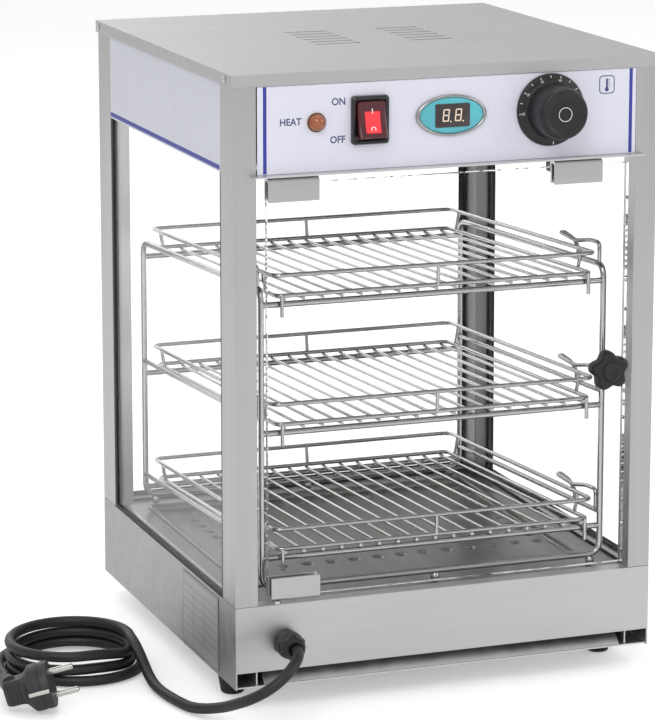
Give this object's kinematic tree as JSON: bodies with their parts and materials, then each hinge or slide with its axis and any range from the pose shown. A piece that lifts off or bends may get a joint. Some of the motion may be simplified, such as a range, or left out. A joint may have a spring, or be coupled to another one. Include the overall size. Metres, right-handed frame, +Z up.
{
  "type": "hot food display case",
  "caption": "Glass-walled heated food display case with wire shelves in a rack, a hinged glass door, a front control panel and rubber feet, its power cord coiled beside it.",
  "frame": {"origin": "on the floor under the middle of the case's outer box, knob included and cord left out", "axes": "+Z up, the door and control panel face -Y, +X to the right seen from the front"},
  "size_m": [0.5179, 0.4105, 0.4948],
  "materials": {
    "steel": "brushed",
    "steel_dark": "brushed",
    "chrome": "polished",
    "print": "satin",
    "glass": "clear",
    "rubber": "matte",
    "black": "satin",
    "plug": "matte",
    "red": "gloss",
    "amber": "gloss",
    "teal": "gloss",
    "nickel": "satin",
    "label": "satin"
  },
  "bodies": {
    "cabinet": {"top_cover": "steel", "post_front_left": "steel", "post_front_right": "steel", "post_rear_left": "steel", "post_rear_right": "steel", "control_panel": "steel", "header_rear": "steel", "base_shell": "steel", "bottom_pan": "steel", "cover_screw_left_front": "nickel", "cover_screw_left_rear": "nickel", "cover_screw_right_front": "nickel", "cover_screw_right_rear": "nickel", "plug_pin_upper": "nickel", "plug_pin_lower": "nickel", "panel_film": "print", "header_left": "print", "header_right": "print", "chamber_ceiling": "steel_dark", "deck": "steel_dark", "perforated_tray": "steel_dark", "heating_element": "steel_dark", "thermostat": "steel_dark", "glass_left": "glass", "glass_right": "glass", "glass_rear": "glass", "glass_seal_left": "rubber", "glass_seal_right": "rubber", "glass_seal_rear": "rubber", "foot_front_left": "rubber", "foot_front_right": "rubber", "foot_rear_left": "rubber", "foot_rear_right": "rubber", "cord_run": "rubber", "cord_coil": "rubber", "lamp_collar": "black", "switch_bezel": "black", "magnet_catch": "black", "cable_gland": "black", "gland_nut": "black", "lamp_lens": "amber", "display_face": "teal", "display_bezel": "chrome", "rack": "chrome", "rating_plate": "label", "plug_body": "plug"},
    "door": {"door_glass": "glass", "clip_top_left": "chrome", "clip_top_right": "chrome", "clip_bottom_left": "chrome", "pivot_top": "nickel", "pivot_bottom": "nickel", "star_knob": "black", "star_knob_screw": "nickel"},
    "temperature_knob": {"thermostat_knob": "black"},
    "power_rocker": {"switch_rocker": "red"},
    "lower_shelf": {"shelf_lower": "chrome"},
    "middle_shelf": {"shelf_middle": "chrome"},
    "upper_shelf": {"shelf_upper": "chrome"}
  },
  "joints": [
    {"name": "door_hinge", "type": "hinge", "parent": "cabinet", "child": "door", "pos_m": [-0.139, -0.15892, 0.25], "axis": [0, 0, -1], "range_deg": [0, 110]},
    {"name": "temperature_knob_turn", "type": "hinge", "parent": "cabinet", "child": "temperature_knob", "pos_m": [0.0822, -0.17572, 0.4563], "axis": [0, 1, 0], "range_deg": [-115, 100]},
    {"name": "power_rocker_tilt", "type": "hinge", "parent": "cabinet", "child": "power_rocker", "pos_m": [-0.0656, -0.16597, 0.4563], "axis": [1, 0, 0], "range_deg": [0, 26]},
    {"name": "lower_shelf_slide", "type": "slide", "parent": "cabinet", "child": "lower_shelf", "axis": [0, -0.9985, 0.0539], "range_m": [0, 0.012]},
    {"name": "middle_shelf_slide", "type": "slide", "parent": "cabinet", "child": "middle_shelf", "axis": [0, -0.9985, 0.0539], "range_m": [0, 0.012]},
    {"name": "upper_shelf_slide", "type": "slide", "parent": "cabinet", "child": "upper_shelf", "axis": [0, -0.9985, 0.0539], "range_m": [0, 0.012]}
  ]
}
